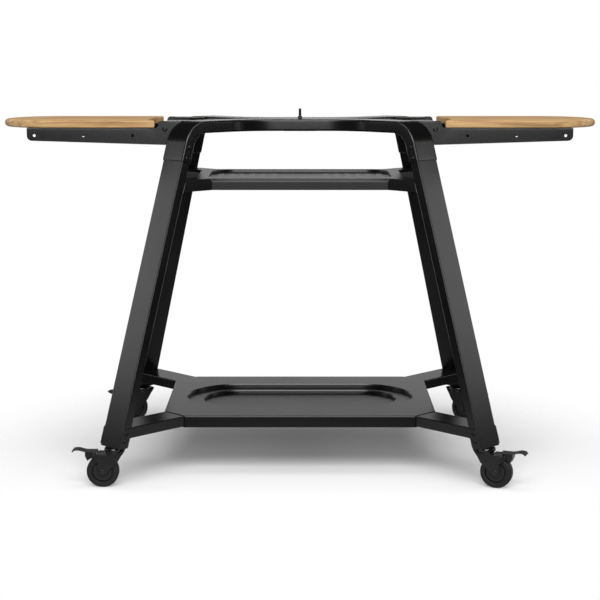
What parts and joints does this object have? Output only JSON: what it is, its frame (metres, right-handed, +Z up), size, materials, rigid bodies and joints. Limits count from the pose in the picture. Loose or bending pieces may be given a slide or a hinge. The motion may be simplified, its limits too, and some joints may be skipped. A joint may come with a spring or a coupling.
{
  "type": "outdoor pizza oven table",
  "caption": "Wheeled outdoor oven stand with splayed tube legs on two bent hoops, round-ended wooden side boards, two pressed steel shelves and braked swivel castors.",
  "frame": {"origin": "on the floor, under the middle of the table", "axes": "+Z up, +X to the right-hand board, -Y towards the front"},
  "size_m": [1.4488, 0.752, 0.864],
  "materials": {
    "powder_black": "fine satin black powder coat",
    "black_screws": "black zinc plated screws, low sheen",
    "stud_steel": "bright black-nickel plated steel",
    "castor_paint": "smooth black e-coat on pressed steel",
    "insert_plastic": "moulded black nylon",
    "hub_plastic": "moulded black nylon wheel centre",
    "tyre_rubber": "smooth black rubber tread",
    "board_wood": "oiled light brown hardwood with streaked grain"
  },
  "bodies": {
    "stand": {"front_hoop": "powder_black", "rear_hoop": "powder_black", "hoop_tie_plate": "powder_black", "front_left_leg": "powder_black", "front_left_base_arm": "powder_black", "front_left_bracket": "powder_black", "front_right_leg": "powder_black", "front_right_base_arm": "powder_black", "front_right_bracket": "powder_black", "rear_left_leg": "powder_black", "rear_left_base_arm": "powder_black", "rear_left_bracket": "powder_black", "rear_right_leg": "powder_black", "rear_right_base_arm": "powder_black", "rear_right_bracket": "powder_black", "mid_shelf": "powder_black", "bottom_shelf": "powder_black", "left_tie_bar": "powder_black", "right_tie_bar": "powder_black", "front_left_foot_insert": "insert_plastic", "front_right_foot_insert": "insert_plastic", "rear_left_foot_insert": "insert_plastic", "rear_right_foot_insert": "insert_plastic", "leg_joint_screws": "black_screws", "mid_shelf_screws": "black_screws", "base_arm_screws": "black_screws", "base_shelf_screws": "black_screws", "bracket_screws": "black_screws", "board_screws": "black_screws", "tie_bar_screws": "black_screws", "locating_stud": "stud_steel", "left_board": "board_wood", "right_board": "board_wood", "front_left_castor_mount": "stud_steel", "front_right_castor_mount": "stud_steel", "rear_left_castor_mount": "stud_steel", "rear_right_castor_mount": "stud_steel"},
    "front_left_swivel": {"front_left_castor_fork": "castor_paint", "front_left_castor_axle": "castor_paint"},
    "front_left_wheel": {"front_left_wheel_hub": "hub_plastic", "front_left_wheel_tyre": "tyre_rubber"},
    "front_left_brake": {"front_left_brake_pedal": "castor_paint"},
    "front_right_swivel": {"front_right_castor_fork": "castor_paint", "front_right_castor_axle": "castor_paint"},
    "front_right_wheel": {"front_right_wheel_hub": "hub_plastic", "front_right_wheel_tyre": "tyre_rubber"},
    "front_right_brake": {"front_right_brake_pedal": "castor_paint"},
    "rear_left_swivel": {"rear_left_castor_fork": "castor_paint", "rear_left_castor_axle": "castor_paint"},
    "rear_left_wheel": {"rear_left_wheel_hub": "hub_plastic", "rear_left_wheel_tyre": "tyre_rubber"},
    "rear_left_brake": {"rear_left_brake_pedal": "castor_paint"},
    "rear_right_swivel": {"rear_right_castor_fork": "castor_paint", "rear_right_castor_axle": "castor_paint"},
    "rear_right_wheel": {"rear_right_wheel_hub": "hub_plastic", "rear_right_wheel_tyre": "tyre_rubber"},
    "rear_right_brake": {"rear_right_brake_pedal": "castor_paint"}
  },
  "joints": [
    {"name": "front_left_swivel_turn", "type": "hinge", "parent": "stand", "child": "front_left_swivel", "pos_m": [-0.433, -0.335, 0.0838], "axis": [0, 0, 1], "continuous": true},
    {"name": "front_left_wheel_roll", "type": "hinge", "parent": "front_left_swivel", "child": "front_left_wheel", "pos_m": [-0.459, -0.335, 0.0375], "axis": [0, -1, 0], "continuous": true},
    {"name": "front_left_brake_press", "type": "hinge", "parent": "front_left_swivel", "child": "front_left_brake", "pos_m": [-0.48, -0.335, 0.075], "axis": [0, -1, 0], "range_deg": [0, 13]},
    {"name": "front_right_swivel_turn", "type": "hinge", "parent": "stand", "child": "front_right_swivel", "pos_m": [0.433, -0.335, 0.0838], "axis": [0, 0, 1], "continuous": true},
    {"name": "front_right_wheel_roll", "type": "hinge", "parent": "front_right_swivel", "child": "front_right_wheel", "pos_m": [0.45711, -0.34474, 0.0375], "axis": [0.3746, 0.9272, 0], "continuous": true},
    {"name": "front_right_brake_press", "type": "hinge", "parent": "front_right_swivel", "child": "front_right_brake", "pos_m": [0.47658, -0.35261, 0.075], "axis": [0.3746, 0.9272, 0], "range_deg": [0, 13]},
    {"name": "rear_left_swivel_turn", "type": "hinge", "parent": "stand", "child": "rear_left_swivel", "pos_m": [-0.433, 0.335, 0.0838], "axis": [0, 0, 1], "continuous": true},
    {"name": "rear_left_wheel_roll", "type": "hinge", "parent": "rear_left_swivel", "child": "rear_left_wheel", "pos_m": [-0.45596, 0.32279, 0.0375], "axis": [0.4695, -0.8829, 0], "continuous": true},
    {"name": "rear_left_brake_press", "type": "hinge", "parent": "rear_left_swivel", "child": "rear_left_brake", "pos_m": [-0.4745, 0.31293, 0.075], "axis": [0.4695, -0.8829, 0], "range_deg": [0, 13]},
    {"name": "rear_right_swivel_turn", "type": "hinge", "parent": "stand", "child": "rear_right_swivel", "pos_m": [0.433, 0.335, 0.0838], "axis": [0, 0, 1], "continuous": true},
    {"name": "rear_right_wheel_roll", "type": "hinge", "parent": "rear_right_swivel", "child": "rear_right_wheel", "pos_m": [0.45138, 0.31662, 0.0375], "axis": [0.7071, 0.7071, 0], "continuous": true},
    {"name": "rear_right_brake_press", "type": "hinge", "parent": "rear_right_swivel", "child": "rear_right_brake", "pos_m": [0.46623, 0.30177, 0.075], "axis": [0.7071, 0.7071, 0], "range_deg": [0, 13]}
  ]
}
